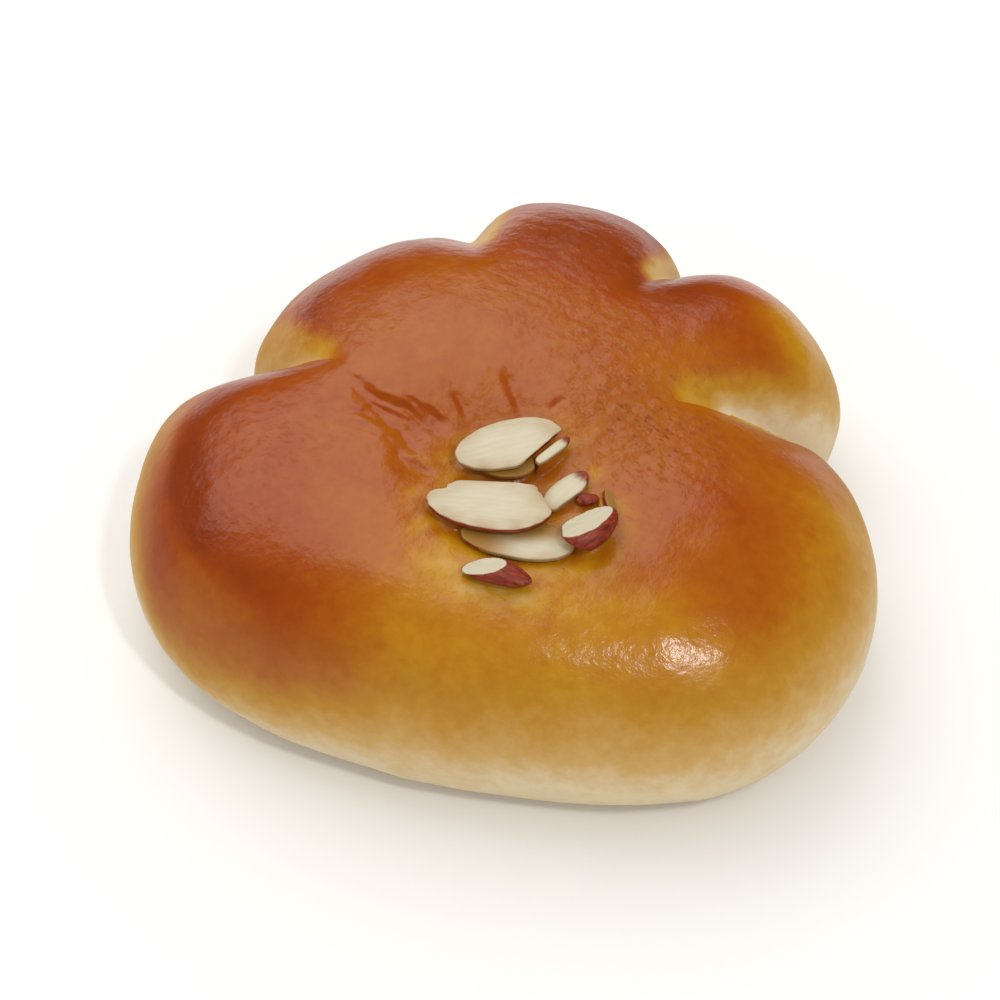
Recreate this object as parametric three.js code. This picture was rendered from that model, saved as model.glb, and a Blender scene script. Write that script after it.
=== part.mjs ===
// A custard bun of the glove kind: sweet dough folded over its filling, snipped into lobes
// along the back edge, brushed with egg and topped with sliced almonds before baking.
// Millimetres, +Z up. The origin is on the base, under the middle of the bun's box.
import * as THREE from 'three';
import { mergeVertices } from 'three/addons/utils/BufferGeometryUtils.js';

// Driving dimensions of the dough. Bearings are degrees from +X, measured from the hub,
// the middle of the fold. Each cushion is a rounded mass of dough: how far its centre lies
// from the hub, its half sizes along and across its bearing, and its half height.
const CUSHIONS = {
  leftLobe: { bearing: 197, distance: 27, reach: 30, breadth: 30.5, rise: 22.5 },
  backLeftLobe: { bearing: 137, distance: 27, reach: 24, breadth: 27.5, rise: 22 },
  backLobe: { bearing: 92, distance: 32, reach: 28, breadth: 27.5, rise: 22 },
  backRightLobe: { bearing: 44, distance: 41, reach: 18.5, breadth: 26, rise: 22 },
  rightLobe: { bearing: -18, distance: 31, reach: 31.5, breadth: 33, rise: 22.5 },
  frontFold: { bearing: -90, distance: 22, reach: 26.5, breadth: 49.5, rise: 24 },
  filledMiddle: { bearing: 90, distance: 7, reach: 42, breadth: 40, rise: 25 },
};
const GIRTH_HEIGHT = 13;
const PLAN_ROUNDNESS = 2.15;
const SIDE_ROUNDNESS = 2.2;
const DOUGH_BLEND = 3;
const BASE_EDGE = 3;
const BASE_SKIM = 0.1;

// The snips between the lobes: each deepens from where it starts to where it is full,
// both measured outwards from the hub, and opens to the sides over the flare.
const SLITS = [
  { bearing: 25, depth: 9, starts: 27, full: 46 },
  { bearing: 68, depth: 5.5, starts: 30, full: 52 },
  { bearing: 111, depth: 6, starts: 30, full: 50 },
  { bearing: 168, depth: 9, starts: 25, full: 46 },
];
const SLIT_FLARE = 4.5;

// The shallow dish that the almonds press into the top, fading in over a band of heights.
const DISH = { x: 4.5, y: -14, depth: 2.5, radius: 13, fadeFrom: 15, fadeTo: 28 };

// Mesh of the dough: meridians crowd towards the slits, and rays are squashed to suit a low form.
const MERIDIANS_BETWEEN_SLITS = [16, 16, 18, 42];
const MERIDIAN_CROWDING = 0.7;
const PARALLELS = 36;
const RAY_SQUASH = 0.55;
const HUB_HEIGHT = 12;
const RAY_REACH = 90;
const ROOT_STEPS = 40;

// Sliced almonds, each laid on the crust at a place measured from the hub. Perch is the height
// of the middle of its underside over the crust. Pitch lifts the end that the heading points to,
// and roll lifts the side to the left of the heading. Taper narrows the leading end of the oval,
// or the other end where it is negative, and trim is a straight break across the oval.
const SLICE_THICKNESS = 1;
const SLICE_BEVEL = 0.22;
const SLICE_POINTS = 26;
const SLICES = {
  almond_top: {
    x: 2.9, y: -5.6, heading: 30, length: 16.8, width: 8.6, taper: -0.05,
    perch: 1.75, pitch: 0, roll: -3, trim: { bearing: -60, keep: 3.9 },
  },
  almond_under: {
    x: 3.4, y: -8.9, heading: 12, length: 8.6, width: 5.6, taper: 0,
    perch: 0.45, pitch: 0, roll: 0,
  },
  almond_sliver: {
    x: 9.5, y: -5.1, heading: 60, length: 7.4, width: 1.9, taper: 0.1,
    perch: 1.55, pitch: -8, roll: 0,
  },
  almond_middle: {
    x: 3, y: -17.5, heading: 8, length: 18.8, width: 11, taper: -0.12,
    perch: 1.9, pitch: 3, roll: -6, trim: { bearing: 94, keep: 4.8 },
  },
  almond_small: {
    x: 13.2, y: -11, heading: 62, length: 8.8, width: 3.2, taper: 0.15,
    perch: 0.45, pitch: 0, roll: 0,
  },
  almond_shard: {
    x: 20, y: -12.2, heading: 116, length: 5.8, width: 1.8, taper: 0,
    perch: 0.9, pitch: 0, roll: 40,
  },
  almond_low: {
    x: 8.5, y: -21.9, heading: 5, length: 17.2, width: 7.2, taper: -0.1,
    perch: 0.55, pitch: 0, roll: 0,
  },
};

// Almond ends that still carry their skin: a rounded kernel shorn by one slanting cut, kept up
// to a distance from its middle. The cut faces a bearing and climbs from level in its own frame.
const KERNEL_SEGMENTS = 20;
const KERNEL_RINGS = 7;
const ENDS = {
  almond_wedge: {
    x: 19.3, y: -18.7, heading: 54, length: 9.4, width: 8, depth: 4.4, perch: 1.05,
    cut: { bearing: 84, climb: 59, keep: 0.9 },
  },
  almond_chip: {
    x: 16.7, y: -11.7, heading: 10, length: 3.4, width: 2.6, depth: 1.8, perch: 0.4,
    cut: { bearing: 90, climb: 80, keep: 0.6 },
  },
  almond_front: {
    x: 6.5, y: -28.5, heading: -5, length: 12.4, width: 5.2, depth: 3, perch: 0.4,
    cut: { bearing: 150, climb: 70, keep: 0.6 },
  },
};

const { degToRad, smoothstep } = THREE.MathUtils;

function softMinimum(values, blend) {
  const least = Math.min(...values);
  const sum = values.reduce((total, value) => total + Math.exp((least - value) / blend), 0);
  return least - blend * Math.log(sum);
}

// Signed depth of a point in one cushion, in millimetres or nearly so, negative inside.
function cushionDepth(cushion, x, y, z) {
  const bearing = degToRad(cushion.bearing);
  const along = x * Math.cos(bearing) + y * Math.sin(bearing) - cushion.distance;
  const across = y * Math.cos(bearing) - x * Math.sin(bearing);
  const lengthwise = Math.abs(along / cushion.reach) ** PLAN_ROUNDNESS;
  const sideways = Math.abs(across / cushion.breadth) ** PLAN_ROUNDNESS;
  const plan = (lengthwise + sideways) ** (SIDE_ROUNDNESS / PLAN_ROUNDNESS);
  const height = Math.abs((z - GIRTH_HEIGHT) / cushion.rise) ** SIDE_ROUNDNESS;
  const size = Math.cbrt(cushion.reach * cushion.breadth * cushion.rise);
  return ((plan + height) ** (1 / SIDE_ROUNDNESS) - 1) * size;
}

function slitDepth(slit, x, y) {
  const bearing = degToRad(slit.bearing);
  const along = x * Math.cos(bearing) + y * Math.sin(bearing);
  const across = y * Math.cos(bearing) - x * Math.sin(bearing);
  return slit.depth * Math.exp(-Math.abs(across) / SLIT_FLARE) * smoothstep(along, slit.starts, slit.full);
}

function dishDepth(x, y, z) {
  const spread = ((x - DISH.x) ** 2 + (y - DISH.y) ** 2) / (2 * DISH.radius ** 2);
  return DISH.depth * Math.exp(-spread) * smoothstep(z, DISH.fadeFrom, DISH.fadeTo);
}

// Signed depth of a point in the whole bun: cushions run together, slits open, base cut flat.
function bunDepth(x, y, z) {
  const raised = z + dishDepth(x, y, z);
  const cushions = Object.values(CUSHIONS).map((cushion) => cushionDepth(cushion, x, y, raised));
  let dough = softMinimum(cushions, DOUGH_BLEND);
  for (const slit of SLITS) {
    dough += slitDepth(slit, x, y);
  }
  return -softMinimum([-dough, z], BASE_EDGE);
}

// Distance along a ray at which a depth that starts negative reaches zero.
function surfaceDistance(depthAt, farthest) {
  let inside = 0;
  let outside = farthest;
  for (let step = 0; step < ROOT_STEPS; step += 1) {
    const middle = (inside + outside) / 2;
    if (depthAt(middle) < 0) {
      inside = middle;
    } else {
      outside = middle;
    }
  }
  return (inside + outside) / 2;
}

// Turns an even count round the sphere into a bearing that crowds towards the slits.
function meridianBearing(count) {
  let first = 0;
  let sector = 0;
  while (count >= first + MERIDIANS_BETWEEN_SLITS[sector] && sector < SLITS.length - 1) {
    first += MERIDIANS_BETWEEN_SLITS[sector];
    sector += 1;
  }
  const share = (count - first) / MERIDIANS_BETWEEN_SLITS[sector];
  const eased = share - (MERIDIAN_CROWDING * Math.sin(2 * Math.PI * share)) / (2 * Math.PI);
  const start = SLITS[sector].bearing;
  const end = sector + 1 < SLITS.length ? SLITS[sector + 1].bearing : SLITS[0].bearing + 360;
  return degToRad(start + (end - start) * eased);
}

function bareSphere(segments, rings) {
  const sphere = new THREE.SphereGeometry(1, segments, rings);
  sphere.rotateX(Math.PI / 2);
  sphere.deleteAttribute('normal');
  sphere.deleteAttribute('uv');
  return mergeVertices(sphere);
}

// The dough: a sphere's vertices sent out along their rays from the hub to the crust.
function bunGeometry() {
  const meridians = MERIDIANS_BETWEEN_SLITS.reduce((total, count) => total + count, 0);
  const geometry = bareSphere(meridians, PARALLELS);
  const position = geometry.attributes.position;
  const ray = new THREE.Vector3();
  for (let i = 0; i < position.count; i += 1) {
    ray.fromBufferAttribute(position, i);
    const turn = Math.atan2(ray.y, ray.x) / (2 * Math.PI);
    const count = Math.round((turn < 0 ? turn + 1 : turn) * meridians) % meridians;
    const bearing = meridianBearing(count);
    const level = Math.hypot(ray.x, ray.y);
    ray.set(level * Math.cos(bearing), level * Math.sin(bearing), ray.z * RAY_SQUASH).normalize();
    const depthAt = (far) => bunDepth(ray.x * far, ray.y * far, HUB_HEIGHT + ray.z * far);
    ray.multiplyScalar(surfaceDistance(depthAt, RAY_REACH));
    const height = HUB_HEIGHT + ray.z;
    position.setXYZ(i, ray.x, ray.y, height < BASE_SKIM ? 0 : height);
  }
  geometry.computeVertexNormals();
  return geometry;
}

function crustPoint(x, y) {
  const rise = surfaceDistance((far) => bunDepth(x, y, HUB_HEIGHT + far), RAY_REACH);
  return new THREE.Vector3(x, y, HUB_HEIGHT + rise);
}

// A group on the crust, its Z square to the crust and its X along the heading.
function crustSeat({ x, y, heading }) {
  const probe = 3;
  const point = crustPoint(x, y);
  const eastward = crustPoint(x + probe, y).sub(crustPoint(x - probe, y));
  const northward = crustPoint(x, y + probe).sub(crustPoint(x, y - probe));
  const up = eastward.cross(northward).normalize();
  const bearing = degToRad(heading);
  const left = new THREE.Vector3(-Math.sin(bearing), Math.cos(bearing), 0);
  const forward = left.cross(up).normalize();
  const square = new THREE.Vector3().crossVectors(up, forward);
  const seat = new THREE.Group();
  seat.position.copy(point);
  seat.setRotationFromMatrix(new THREE.Matrix4().makeBasis(forward, square, up));
  return seat;
}

// A thin slice cut along the almond: an oval with one narrower end and a softened rim.
function sliceGeometry({ length, width, taper, trim }) {
  const outline = [];
  for (let i = 0; i < SLICE_POINTS; i += 1) {
    const turn = (2 * Math.PI * i) / SLICE_POINTS;
    const narrowing = 1 - taper * Math.cos(turn);
    const point = new THREE.Vector2(Math.cos(turn) * length, Math.sin(turn) * width * narrowing);
    point.divideScalar(2);
    if (trim) {
      const facing = new THREE.Vector2(Math.cos(degToRad(trim.bearing)), Math.sin(degToRad(trim.bearing)));
      point.addScaledVector(facing, -Math.max(0, point.dot(facing) - trim.keep));
    }
    outline.push(point);
  }
  const geometry = new THREE.ExtrudeGeometry(new THREE.Shape(outline), {
    depth: SLICE_THICKNESS - 2 * SLICE_BEVEL,
    bevelEnabled: true,
    bevelThickness: SLICE_BEVEL,
    bevelSize: SLICE_BEVEL,
    bevelOffset: -SLICE_BEVEL,
    bevelSegments: 1,
    curveSegments: 1,
  });
  return geometry.translate(0, 0, SLICE_BEVEL);
}

// The end of an almond, resting on its skin: a round kernel is turned with its flat cut square
// to the turning axis, leaned over, and then stretched to the kernel's length, width and depth.
function endGeometry({ length, width, depth, cut }) {
  const climb = degToRad(cut.climb);
  const bearing = degToRad(cut.bearing);
  const half = new THREE.Vector3(length, width, depth).divideScalar(2);
  const level = Math.cos(climb);
  const lean = new THREE.Vector3(level * Math.cos(bearing), level * Math.sin(bearing), Math.sin(climb));
  lean.multiply(half);
  const cutHeight = cut.keep / lean.length();
  const profile = [new THREE.Vector2(0, -1)];
  for (let ring = 1; ring <= KERNEL_RINGS; ring += 1) {
    const turn = ((Math.asin(cutHeight) + Math.PI / 2) * ring) / KERNEL_RINGS - Math.PI / 2;
    profile.push(new THREE.Vector2(Math.cos(turn), Math.sin(turn)));
  }
  profile.push(new THREE.Vector2(0, cutHeight));
  const turned = new THREE.LatheGeometry(profile, KERNEL_SEGMENTS);
  turned.deleteAttribute('normal');
  turned.deleteAttribute('uv');
  const upright = new THREE.Vector3(0, 1, 0);
  turned.applyQuaternion(new THREE.Quaternion().setFromUnitVectors(upright, lean.normalize()));
  turned.scale(half.x, half.y, half.z);
  turned.translate(0, 0, half.z);
  const geometry = mergeVertices(turned);
  geometry.computeVertexNormals();
  return geometry;
}

const glazedCrust = () => new THREE.MeshStandardMaterial({ color: '#b57230', roughness: 0.35, metalness: 0 });
const almondFlesh = () => new THREE.MeshStandardMaterial({ color: '#dfcda6', roughness: 0.6, metalness: 0 });
const almondSkin = () => new THREE.MeshStandardMaterial({ color: '#85381c', roughness: 0.7, metalness: 0 });

function namedMesh(name, geometry, material) {
  const mesh = new THREE.Mesh(geometry, material);
  mesh.name = name;
  return mesh;
}

const bun = namedMesh('bun', bunGeometry(), glazedCrust());
bun.geometry.computeBoundingBox();
const middle = bun.geometry.boundingBox.getCenter(new THREE.Vector3());

const fromHub = new THREE.Group();
fromHub.position.set(-middle.x, -middle.y, 0);
fromHub.add(bun);

for (const [name, slice] of Object.entries(SLICES)) {
  const seat = crustSeat(slice);
  const mesh = namedMesh(name, sliceGeometry(slice), almondFlesh());
  mesh.position.z = slice.perch;
  mesh.rotation.set(degToRad(slice.roll), degToRad(-slice.pitch), 0);
  seat.add(mesh);
  fromHub.add(seat);
}

for (const [name, end] of Object.entries(ENDS)) {
  const seat = crustSeat(end);
  const mesh = namedMesh(name, endGeometry(end), almondSkin());
  mesh.position.z = end.perch;
  seat.add(mesh);
  fromHub.add(seat);
}

const custardBun = new THREE.Group();
custardBun.add(fromHub);

export default custardBun;
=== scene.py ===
# %% [markdown]
# # A custard bun with sliced almonds
# Sweet dough is folded over custard, snipped along the back edge so that it opens into lobes,
# brushed with egg and baked with a few sliced almonds on top. This lesson dresses the plain
# solids of that bun. The first cell loads them as a frame that stays fixed, in metres with Z up,
# and a helper reads their box, so that the dressed bun can be set to the size that they are. The
# dressed bun has to stay the size that they are.

# %% Load the frame
import math

import bmesh
import bpy
import numpy as np
from mathutils import Matrix, Vector, noise


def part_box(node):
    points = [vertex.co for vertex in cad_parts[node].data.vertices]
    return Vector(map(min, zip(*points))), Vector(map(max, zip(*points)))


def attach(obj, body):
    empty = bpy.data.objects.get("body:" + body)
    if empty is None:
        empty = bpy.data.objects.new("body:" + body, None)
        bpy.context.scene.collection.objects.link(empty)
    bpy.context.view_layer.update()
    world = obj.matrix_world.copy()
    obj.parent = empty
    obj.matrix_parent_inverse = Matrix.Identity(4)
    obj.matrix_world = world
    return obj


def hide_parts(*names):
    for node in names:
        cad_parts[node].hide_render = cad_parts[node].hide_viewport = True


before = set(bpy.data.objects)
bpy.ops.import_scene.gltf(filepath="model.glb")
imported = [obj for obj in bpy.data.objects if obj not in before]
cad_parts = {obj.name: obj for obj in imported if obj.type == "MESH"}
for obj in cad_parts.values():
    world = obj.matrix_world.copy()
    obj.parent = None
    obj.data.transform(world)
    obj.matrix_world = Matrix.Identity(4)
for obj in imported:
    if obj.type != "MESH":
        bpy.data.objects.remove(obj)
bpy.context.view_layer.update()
MM = 0.001
print("solids loaded:", ", ".join(sorted(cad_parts)))

# %% [markdown]
# The camera looks down on the bun from the front, a little to its right. A long lens from half
# a metre keeps the far lobes nearly as large as the near fold. Aiming with a track quaternion is
# shorter than working out angles, and it keeps the camera level.

# %% Camera
VIEW_BEARING, VIEW_CLIMB, VIEW_DISTANCE = 15.0, 52.0, 0.5
VIEW_AIM = Vector((-2.65, -5.7, 16.0)) * MM
LENS_LENGTH, SENSOR_WIDTH, NEAREST_SEEN = 114.3, 36.0, 0.01


def direction(bearing, climb):
    """Unit vector towards a bearing, in degrees right of the front, and a climb from level."""
    level = math.cos(math.radians(climb))
    turn = math.radians(bearing)
    return Vector((math.sin(turn) * level, -math.cos(turn) * level, math.sin(math.radians(climb))))


towards_camera = direction(VIEW_BEARING, VIEW_CLIMB)
camera = bpy.data.objects.new("camera", bpy.data.cameras.new("camera"))
camera.data.sensor_width = SENSOR_WIDTH
camera.data.lens = LENS_LENGTH
camera.data.clip_start = NEAREST_SEEN
camera.location = VIEW_AIM + towards_camera * VIEW_DISTANCE
camera.rotation_euler = towards_camera.to_track_quat("Z", "Y").to_euler()
bpy.context.scene.collection.objects.link(camera)
bpy.context.scene.camera = camera
print("camera at", [round(c, 3) for c in camera.location])

# %% [markdown]
# Glossy crust shows its light sources, so they are placed by what they leave on it. A large soft
# panel behind and to the left lays a pale veil over the top. A small narrow lamp in front, to the
# right, breaks into the sparkle on the front fold. The even light of the room is kept out of the
# reflections, which leaves the browned crust deep in colour.

# %% Light
LIGHTS = {
    "soft_panel": {"place": (-0.8, 0.72, 1.0), "aim": (-0.8, 0.72, 0.0), "size": (1.6, 1.52), "power": 11.7},
    "small_lamp": {"place": (0.46, -0.39, 1.04), "aim": (0.0, 0.0, 0.0), "size": (0.07, 0.15), "power": 2.9},
}
ROOM_LIGHT = 0.73

for name, light in LIGHTS.items():
    lamp = bpy.data.lights.new(name, "AREA")
    lamp.shape = "RECTANGLE"
    lamp.size, lamp.size_y = light["size"]
    lamp.energy = light["power"]
    holder = bpy.data.objects.new(name, lamp)
    holder.location = light["place"]
    backwards = Vector(light["place"]) - Vector(light["aim"])
    holder.rotation_euler = backwards.to_track_quat("Z", "Y").to_euler()
    bpy.context.scene.collection.objects.link(holder)

world = bpy.data.worlds.new("even_room")
bpy.context.scene.world = world
world.use_nodes = True
world.node_tree.nodes["Background"].inputs["Color"].default_value = (1.0, 1.0, 1.0, 1.0)
world.node_tree.nodes["Background"].inputs["Strength"].default_value = ROOM_LIGHT
world.cycles_visibility.glossy = False
bpy.context.scene.view_settings.view_transform = "Standard"
print("lights:", ", ".join(LIGHTS))

# %% [markdown]
# Every finish below is a small tree of nodes. One helper adds a node, sets it up and links it, so
# that each tree reads as a list. Colours are written as the hex values that a paint chart would
# give, and one function turns them to the linear light that the nodes work in. Pattern scales
# come from real sizes in millimetres, because a noise of scale 1 repeats about once a metre.


# %% Helpers for finishes
def linear(hex_colour):
    """sRGB hex to linear RGBA."""
    values = [int(hex_colour[i : i + 2], 16) / 255 for i in (1, 3, 5)]
    return [v / 12.92 if v <= 0.04045 else ((v + 0.055) / 1.055) ** 2.4 for v in values] + [1.0]


def per_mm(size):
    """Texture scale at which a pattern repeats about every so many millimetres."""
    return 1000.0 / size


def new_material(name):
    material = bpy.data.materials.new(name)
    material.use_nodes = True
    return material, material.node_tree, material.node_tree.nodes["Principled BSDF"]


def add(tree, kind, settings=None, inputs=None):
    """Adds a node with its settings. Each input is a value, or the socket that feeds it."""
    node = tree.nodes.new(kind)
    for key, value in (settings or {}).items():
        setattr(node, key, value)
    for key, value in (inputs or {}).items():
        if isinstance(value, bpy.types.NodeSocket):
            tree.links.new(value, node.inputs[key])
        else:
            node.inputs[key].default_value = value
    return node


def set_stops(ramp, stops):
    """Colour stops of a ramp, as (place, hex colour)."""
    elements = ramp.color_ramp.elements
    while len(elements) < len(stops):
        elements.new(1.0)
    for element, (place, colour) in zip(elements, stops):
        element.position = place
        element.color = linear(colour)


print("helpers ready")

# %% [markdown]
# The bun stands on a plain pale sheet, which also lights its underside and shows in the shine along
# its edges. The sheet goes over to grey farther out, beyond the picture, because the far edges of
# the crust mirror that part of it and would shine too brightly. It is matt paper, which takes soft
# shadows and hardly any reflections.

# %% Floor
FLOOR_REACH, FLOOR_SQUARES = 1.5, 8
PALE_WITHIN, GREY_BEYOND = 0.15, 0.35

bm = bmesh.new()
bmesh.ops.create_grid(bm, x_segments=FLOOR_SQUARES, y_segments=FLOOR_SQUARES, size=FLOOR_REACH)
mesh = bpy.data.meshes.new("floor")
bm.to_mesh(mesh)
bm.free()
floor = bpy.data.objects.new("floor", mesh)
bpy.context.scene.collection.objects.link(floor)
paper, tree, shader = new_material("matt_white_paper")
place = add(tree, "ShaderNodeTexCoord").outputs["Object"]
distance = add(tree, "ShaderNodeVectorMath", {"operation": "LENGTH"}, {0: place})
outwards = add(tree, "ShaderNodeMapRange", None, {
    "Value": distance.outputs["Value"], "From Min": PALE_WITHIN, "From Max": GREY_BEYOND,
})
fading = add(tree, "ShaderNodeValToRGB", None, {"Fac": outwards.outputs["Result"]})
set_stops(fading, [(0.0, "#f4f2ef"), (1.0, "#a3a19e")])
tree.links.new(fading.outputs["Color"], shader.inputs["Base Color"])
shader.inputs["Roughness"].default_value = 0.9
shader.inputs["Specular IOR Level"].default_value = 0.1
floor.data.materials.append(paper)
print("floor", len(mesh.polygons), "faces")

# %% [markdown]
# The dough is a row of rounded cushions that have risen into each other. Each one is given by its
# bearing from the hub, the middle of the fold, by how far out its centre lies, and by its half
# sizes: its reach, breadth and rise. A field says how deep a point lies in a cushion, and a soft
# minimum runs the cushions together the way dough does, with no seam. Joining spheres would leave
# creases that need smoothing afterwards. A snip is a bearing, a depth, where it starts and where it
# is fully open. All sizes are in millimetres and bearings in degrees.

# %% Sizes of the dough
CUSHIONS = {
    "left_lobe": (197, 27, 30, 30.5, 22.5),
    "back_left_lobe": (137, 27, 24, 27.5, 22),
    "back_lobe": (92, 32, 28, 27.5, 22),
    "back_right_lobe": (44, 41, 18.5, 26, 22),
    "right_lobe": (-18, 31, 31.5, 33, 22.5),
    "front_fold": (-90, 22, 26.5, 49.5, 24),
    "filled_middle": (90, 7, 42, 40, 25),
}
GIRTH_HEIGHT, PLAN_ROUNDNESS, SIDE_ROUNDNESS = 13.0, 2.15, 2.2
DOUGH_BLEND, BASE_EDGE, BASE_SKIM = 3.0, 3.0, 0.1
SNIPS = ((25, 9, 27, 46), (68, 5.5, 30, 52), (111, 6, 30, 50), (168, 9, 25, 46))
SNIP_FLARE, SNIP_ROUNDING = 4.5, 0.8
DISH = {"x": 4.5, "y": -14.0, "depth": 2.5, "radius": 13.0, "fade": (15, 28)}
HUB_HEIGHT, RAY_REACH = 12.0, 90.0


def smoothstep(value, low, high):
    share = np.clip((value - low) / (high - low), 0.0, 1.0)
    return share * share * (3.0 - 2.0 * share)


def along_and_across(bearing, x, y):
    """Distances along a bearing from the hub, and to its left."""
    turn = math.radians(bearing)
    return x * math.cos(turn) + y * math.sin(turn), y * math.cos(turn) - x * math.sin(turn)


def soft_minimum(values, blend):
    least = np.min(values, axis=0)
    return least - blend * np.log(np.sum(np.exp((least - values) / blend), axis=0))


print(len(CUSHIONS), "cushions,", len(SNIPS), "snips")

# %% [markdown]
# The snips are cut by lowering the field along their lines, deeper towards the edge. The base is
# cut flat with a soft edge, as dough settles on a tray, and a shallow dish lies under the almonds.


# %% The depth of a point in the dough
def opening(snip, x, y):
    """How far a snip lowers the dough at a point."""
    bearing, depth, starts, full = snip
    along, across = along_and_across(bearing, x, y)
    return depth * np.exp(-np.hypot(across, SNIP_ROUNDING) / SNIP_FLARE) * smoothstep(along, starts, full)


def cushion_depth(cushion, x, y, z):
    bearing, distance, reach, breadth, rise = cushion
    along, across = along_and_across(bearing, x, y)
    plan = np.abs((along - distance) / reach) ** PLAN_ROUNDNESS + np.abs(across / breadth) ** PLAN_ROUNDNESS
    height = np.abs((z - GIRTH_HEIGHT) / rise) ** SIDE_ROUNDNESS
    full = (plan ** (SIDE_ROUNDNESS / PLAN_ROUNDNESS) + height) ** (1 / SIDE_ROUNDNESS)
    return (full - 1.0) * np.cbrt(reach * breadth * rise)


def dough_depth(x, y, z):
    """Negative inside the dough, in millimetres or nearly so."""
    spread = ((x - DISH["x"]) ** 2 + (y - DISH["y"]) ** 2) / (2 * DISH["radius"] ** 2)
    raised = z + DISH["depth"] * np.exp(-spread) * smoothstep(z, *DISH["fade"])
    dough = soft_minimum(np.array([cushion_depth(c, x, y, raised) for c in CUSHIONS.values()]), DOUGH_BLEND)
    for snip in SNIPS:
        dough = dough + opening(snip, x, y)
    return -soft_minimum(np.array([-dough, z]), BASE_EDGE)


def reach_of_rays(rays, steps=24):
    """How far each ray from the hub goes before it leaves the dough, by halving."""
    inside = np.zeros(len(rays))
    outside = np.full(len(rays), RAY_REACH)
    for _ in range(steps):
        middle = (inside + outside) / 2
        deep = dough_depth(rays[:, 0] * middle, rays[:, 1] * middle, HUB_HEIGHT + rays[:, 2] * middle) < 0
        inside = np.where(deep, middle, inside)
        outside = np.where(deep, outside, middle)
    return (inside + outside) / 2


print("rise over the hub:", round(float(reach_of_rays(np.array([[0.0, 0.0, 1.0]]))[0]), 2), "mm")

# %% [markdown]
# The skin of the dough starts as a finely divided cube, whose even squares suit a low round form
# better than a globe's meridians, which crowd at the top. Each corner is sent out along its ray to
# the crust. The rows are shared so that the top, which shows, gets most of them, and the columns
# are turned a little so that one of them runs down the bottom of each snip.

# %% Block out the bun
CELLS = 128
GIRTH_ROW = -0.35
TOP_SQUASH, BASE_SQUASH = 0.85, 0.28
COLUMN_CROWDING = 0.55

bun_bm = bmesh.new()
bmesh.ops.create_cube(bun_bm, size=2.0)
bmesh.ops.subdivide_edges(bun_bm, edges=bun_bm.edges[:], cuts=CELLS - 1, use_grid_fill=True)
block = np.array([v.co for v in bun_bm.verts])


def crowded_bearing(turn):
    """Turns a bearing on the cube, in degrees, so that columns meet and crowd at the snips."""
    column = 90.0 / CELLS
    ends = [snip[0] for snip in SNIPS] + [SNIPS[0][0] + 360]
    result = np.array(turn, float)
    for start, end in zip(ends[:-1], ends[1:]):
        first, last = (round(bound / column) * column for bound in (start, end))
        place = (turn - first) % 360.0
        here = place < last - first
        share = place / (last - first)
        eased = share - COLUMN_CROWDING * np.sin(2 * np.pi * share) / (2 * np.pi)
        result = np.where(here, start + (end - start) * eased, result)
    return result


even = np.tan(block * math.pi / 4)
flat_length = np.hypot(even[:, 0], even[:, 1])
bearing = np.radians(crowded_bearing(np.degrees(np.arctan2(even[:, 1], even[:, 0]))))
over_girth = block[:, 2] - GIRTH_ROW
upper = over_girth > 0
row = np.where(upper, over_girth / (1 - GIRTH_ROW), over_girth / (1 + GIRTH_ROW))
climb = np.where(upper, TOP_SQUASH, BASE_SQUASH) * row
rays = np.column_stack([flat_length * np.cos(bearing), flat_length * np.sin(bearing), climb])
rays /= np.linalg.norm(rays, axis=1)[:, None]
dough = rays * reach_of_rays(rays)[:, None]
dough[:, 2] += HUB_HEIGHT
dough[dough[:, 2] < BASE_SKIM, 2] = 0.0

low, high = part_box("bun")
hub = np.array([(low.x + high.x) / 2, (low.y + high.y) / 2, 0.0]) / MM
hub[:2] -= (dough.min(axis=0)[:2] + dough.max(axis=0)[:2]) / 2
print("hub at", hub.round(2), "mm; bun", (dough.max(axis=0) - dough.min(axis=0)).round(2), "mm")

# %% [markdown]
# Each almond piece lies on the crust at a place measured from the hub. A seat is a frame that
# stands square to the crust there, with its X along the heading, and a piece is then lifted by
# its perch and tipped by its pitch and roll. The pieces are modelled flat and laid down at the
# end, because a cut or a nick is easy to place on a flat piece.

# %% Seats for the almonds
ALMONDS = {
    "almond_top": {"at": (2.9, -5.6), "heading": 30, "perch": 1.75, "tip": (0, -3), "size": (16.8, 8.6)},
    "almond_under": {"at": (3.2, -8.3), "heading": 12, "perch": 0.45, "tip": (0, 0), "size": (8.6, 5.0)},
    "almond_sliver": {"at": (9.5, -5.1), "heading": 60, "perch": 1.55, "tip": (-8, 0), "size": (7.4, 1.9)},
    "almond_middle": {"at": (3.0, -17.5), "heading": 8, "perch": 1.9, "tip": (3, -6), "size": (18.8, 11.0)},
    "almond_small": {"at": (13.2, -11.0), "heading": 62, "perch": 0.45, "tip": (0, 0), "size": (9.2, 4.2)},
    "almond_shard": {"at": (20.0, -12.2), "heading": 116, "perch": 0.65, "tip": (0, 40), "size": (5.8, 1.8)},
    "almond_low": {"at": (8.5, -21.9), "heading": 5, "perch": 0.55, "tip": (0, 0), "size": (17.2, 7.2)},
    "almond_wedge": {"at": (18.7, -18.6), "heading": 54, "perch": 1.05, "tip": (0, 0), "size": (10.2, 8.6)},
    "almond_chip": {"at": (16.7, -11.7), "heading": 10, "perch": 0.3, "tip": (0, 0), "size": (4.0, 3.2)},
    "almond_front": {"at": (6.5, -28.5), "heading": -5, "perch": 0.4, "tip": (0, 0), "size": (12.4, 5.2)},
}
SEAT_SPAN, SEAT_HALVINGS = 3, 40


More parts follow.
